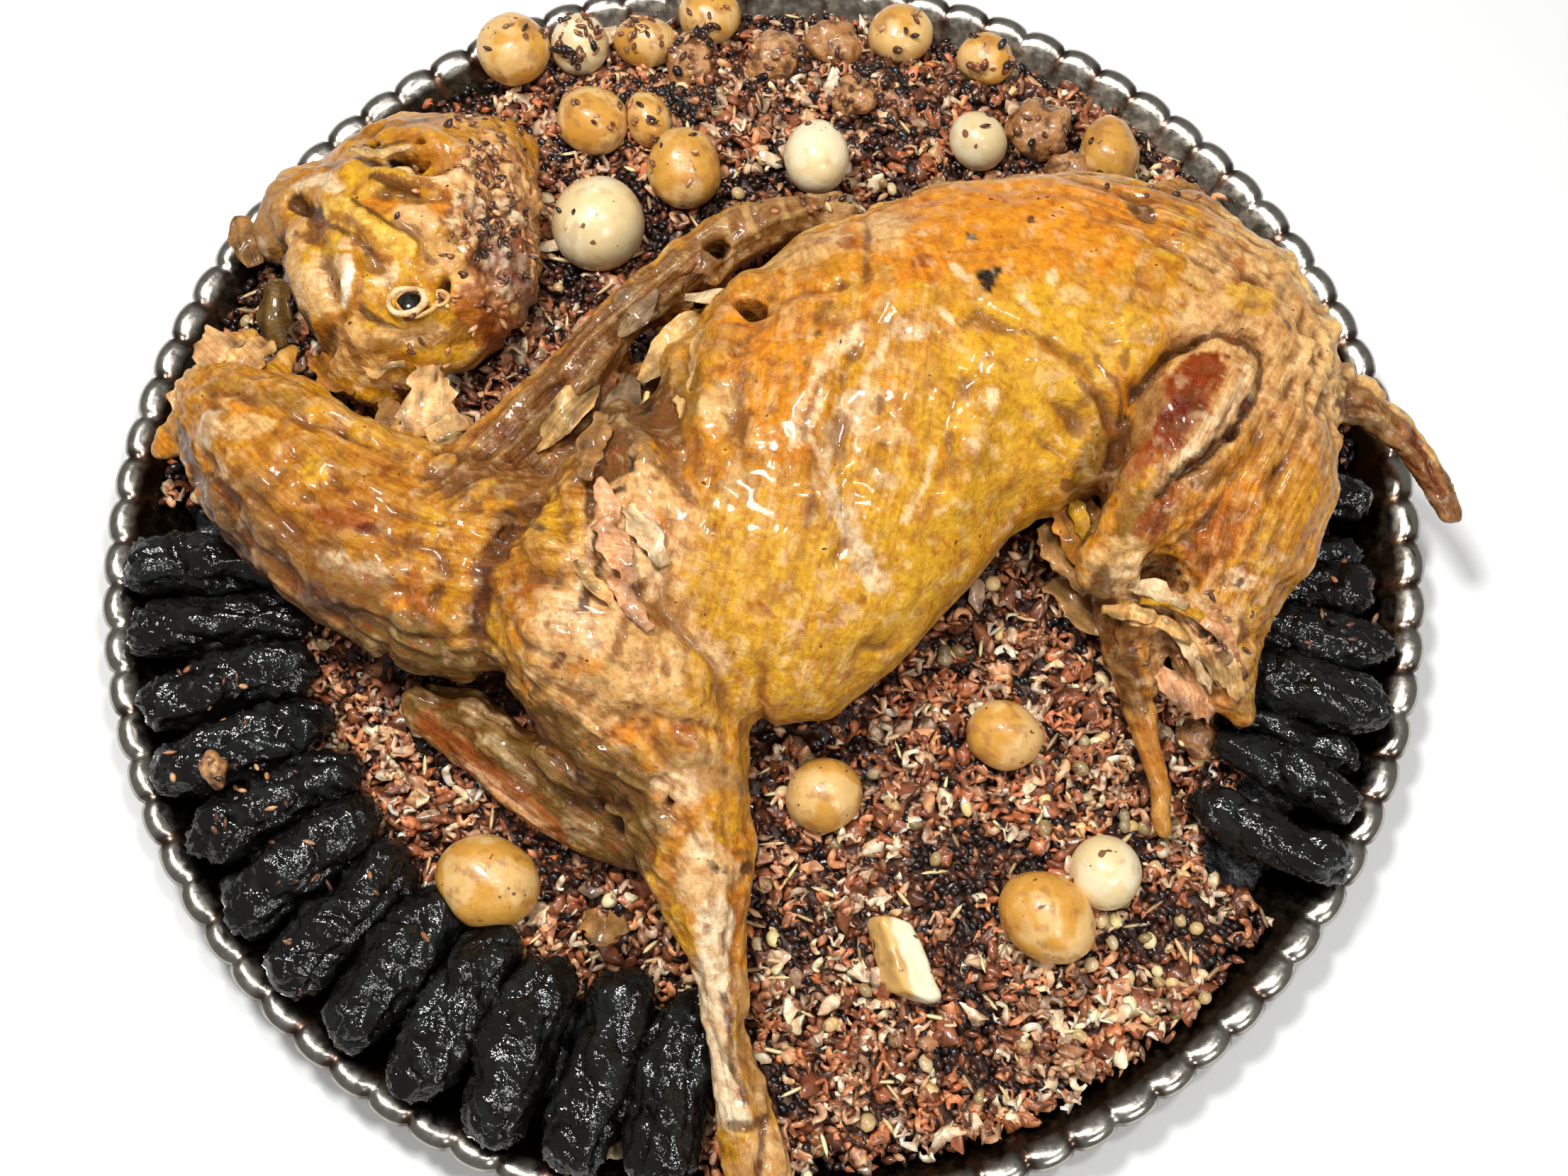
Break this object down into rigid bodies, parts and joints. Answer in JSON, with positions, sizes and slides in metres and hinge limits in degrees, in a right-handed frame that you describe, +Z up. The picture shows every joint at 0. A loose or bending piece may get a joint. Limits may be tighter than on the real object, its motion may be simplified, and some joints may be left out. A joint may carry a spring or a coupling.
{
  "type": "plate of lamb quzi",
  "caption": "Whole roast lamb on spiced rice in a round scalloped metal tray, with its head, boiled eggs, small potatoes, meat and black stuffed rolls",
  "frame": {"origin": "centre of the tray's flat underside, on the surface that it stands on", "axes": "+Z up; +Y points to the side behind the lamb's back, +X to its tail"},
  "size_m": [0.7102, 0.7, 0.1688],
  "materials": {
    "steel": "polished",
    "rice": "moist",
    "roast": "glossy",
    "potato": "satin",
    "egg": "satin",
    "meat": "moist",
    "roll": "glossy"
  },
  "bodies": {
    "root": {"black_roll_01": "roll", "black_roll_02": "roll", "black_roll_03": "roll", "black_roll_04": "roll", "black_roll_05": "roll", "black_roll_06": "roll", "black_roll_07": "roll", "black_roll_08": "roll", "black_roll_09": "roll", "black_roll_10": "roll", "black_roll_11": "roll", "black_roll_12": "roll", "black_roll_13": "roll", "black_roll_14": "roll", "black_roll_15": "roll", "black_roll_16": "roll", "black_roll_17": "roll", "black_roll_18": "roll", "black_roll_19": "roll", "black_roll_20": "roll", "egg_01": "egg", "egg_02": "egg", "egg_03": "egg", "egg_04": "egg", "egg_05": "egg", "lamb": "roast", "lamb_head": "roast", "meat_chunk_01": "meat", "meat_chunk_02": "meat", "meat_chunk_03": "meat", "meat_chunk_04": "meat", "meat_chunk_05": "meat", "meat_chunk_06": "meat", "meat_chunk_07": "meat", "meat_chunk_08": "meat", "meat_chunk_09": "meat", "potato_01": "potato", "potato_02": "potato", "potato_03": "potato", "potato_04": "potato", "potato_05": "potato", "potato_06": "potato", "potato_07": "potato", "potato_08": "potato", "potato_09": "potato", "potato_10": "potato", "potato_11": "potato", "potato_12": "potato", "potato_13": "potato", "potato_wedge": "potato", "rice_bed": "rice", "tray": "steel"}
  },
  "joints": []
}
